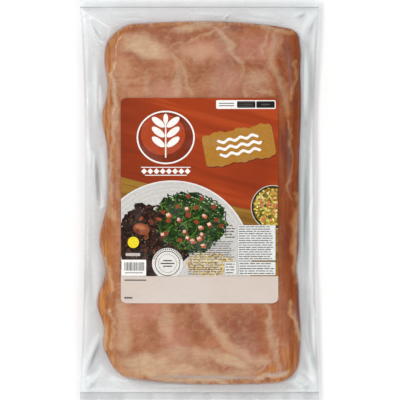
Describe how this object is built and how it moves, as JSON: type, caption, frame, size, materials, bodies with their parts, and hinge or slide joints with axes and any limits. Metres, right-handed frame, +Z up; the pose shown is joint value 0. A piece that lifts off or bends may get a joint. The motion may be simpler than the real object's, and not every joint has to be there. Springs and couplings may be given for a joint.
{
  "type": "vacuum-packed bacon slab",
  "caption": "Slab of smoked bacon sealed flat in a clear vacuum bag, with a printed paper label on its front.",
  "frame": {"origin": "on the surface the pack lies on, under the middle of the bag", "axes": "+X to the right across the label, +Y towards the label's top edge, +Z up, out of the label"},
  "size_m": [0.299, 0.5, 0.0454],
  "materials": {
    "bacon": "moist, under clear film",
    "film": "clear, glossy",
    "label": "printed, satin"
  },
  "bodies": {
    "root": {"sealed_bag": "bacon", "label": "label"}
  },
  "joints": []
}
